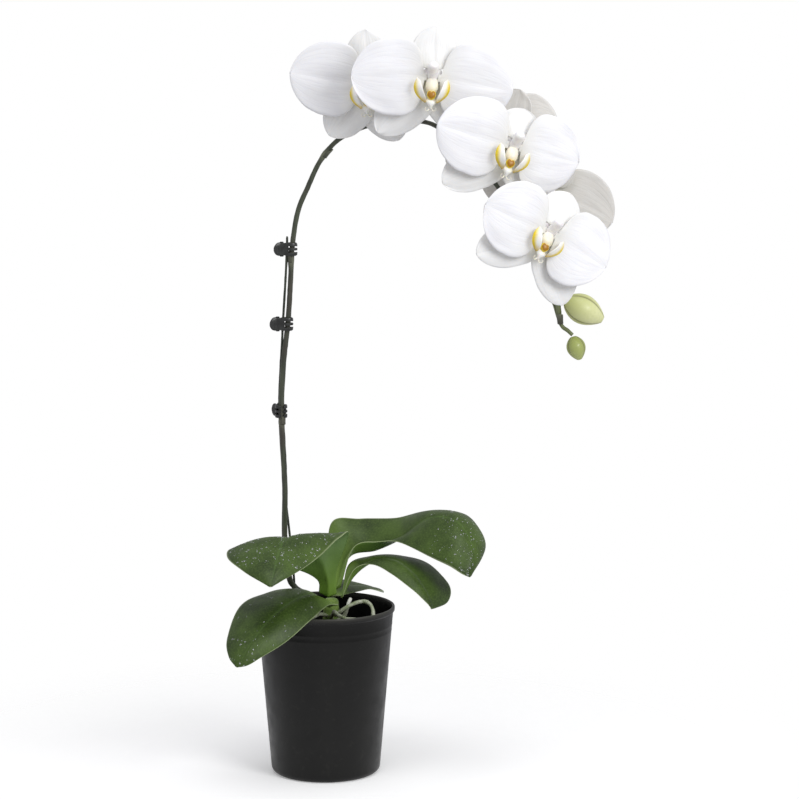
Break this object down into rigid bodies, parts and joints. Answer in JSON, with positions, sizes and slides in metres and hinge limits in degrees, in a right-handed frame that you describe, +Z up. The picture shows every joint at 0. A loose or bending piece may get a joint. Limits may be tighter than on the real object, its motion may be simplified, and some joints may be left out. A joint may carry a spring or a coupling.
{
  "type": "potted orchid",
  "caption": "White moth orchid in a black plastic nursery pot, its arching flower spike held to a wire stake by claw clips",
  "frame": {"origin": "centre of the pot's base, on the face it stands on", "axes": "+Z up; +X to the side the flower spike arches towards; -Y the side most flowers face"},
  "size_m": [0.3281, 0.2169, 0.6389],
  "materials": {
    "pot": "thin injection-moulded black polypropylene with a soft sheen",
    "bark": "damp chips of dark pine bark",
    "stem": null,
    "leaf": null,
    "spike": null,
    "stake": "2 mm steel wire with a dark green plastic coat",
    "clip": "moulded black plastic",
    "petal": null,
    "lip": "cream and yellow flower lip with an orange-brown callus",
    "column": "waxy white flower column",
    "bud": "pale yellow-green closed bud"
  },
  "bodies": {
    "root": {"bark_mix": "bark", "bud_large": "bud", "bud_small": "bud", "clip_bottom_fixed_jaw": "clip", "clip_middle_fixed_jaw": "clip", "clip_top_fixed_jaw": "clip", "flower_1_column": "column", "flower_1_lip": "lip", "flower_1_petal_left": "petal", "flower_1_petal_right": "petal", "flower_1_sepal_dorsal": "petal", "flower_1_sepal_left": "petal", "flower_1_sepal_right": "petal", "flower_2_column": "column", "flower_2_lip": "lip", "flower_2_petal_left": "petal", "flower_2_petal_right": "petal", "flower_2_sepal_dorsal": "petal", "flower_2_sepal_left": "petal", "flower_2_sepal_right": "petal", "flower_3_column": "column", "flower_3_lip": "lip", "flower_3_petal_left": "petal", "flower_3_petal_right": "petal", "flower_3_sepal_dorsal": "petal", "flower_3_sepal_left": "petal", "flower_3_sepal_right": "petal", "flower_4_column": "column", "flower_4_lip": "lip", "flower_4_petal_left": "petal", "flower_4_petal_right": "petal", "flower_4_sepal_dorsal": "petal", "flower_4_sepal_left": "petal", "flower_4_sepal_right": "petal", "flower_5_column": "column", "flower_5_lip": "lip", "flower_5_petal_left": "petal", "flower_5_petal_right": "petal", "flower_5_sepal_dorsal": "petal", "flower_5_sepal_left": "petal", "flower_5_sepal_right": "petal", "flower_6_column": "column", "flower_6_lip": "lip", "flower_6_petal_left": "petal", "flower_6_petal_right": "petal", "flower_6_sepal_dorsal": "petal", "flower_6_sepal_left": "petal", "flower_6_sepal_right": "petal", "flower_spike": "spike", "leaf_back": "leaf", "leaf_front": "leaf", "leaf_high_right": "leaf", "leaf_low_left": "leaf", "leaf_mid_right": "leaf", "pot": "pot", "stem_and_roots": "stem", "wire_stake": "stake"},
    "clip_top_jaw": {"clip_top_moving_jaw": "clip"},
    "clip_middle_jaw": {"clip_middle_moving_jaw": "clip"},
    "clip_bottom_jaw": {"clip_bottom_moving_jaw": "clip"}
  },
  "joints": [
    {"name": "clip_top_hinge", "type": "hinge", "parent": "root", "child": "clip_top_jaw", "pos_m": [-0.0357, -0.003, 0.453], "axis": [0, 0, -1], "range_deg": [0, 30], "stiffness_Nm_per_rad": 0.01, "springref_deg": -17.19},
    {"name": "clip_middle_hinge", "type": "hinge", "parent": "root", "child": "clip_middle_jaw", "pos_m": [-0.0397, 0.001, 0.389], "axis": [0, 0, -1], "range_deg": [0, 30], "stiffness_Nm_per_rad": 0.01, "springref_deg": -17.19},
    {"name": "clip_bottom_hinge", "type": "hinge", "parent": "root", "child": "clip_bottom_jaw", "pos_m": [-0.0391, 0.01044, 0.314], "axis": [0, 0, -1], "range_deg": [0, 30], "stiffness_Nm_per_rad": 0.01, "springref_deg": -17.19}
  ]
}
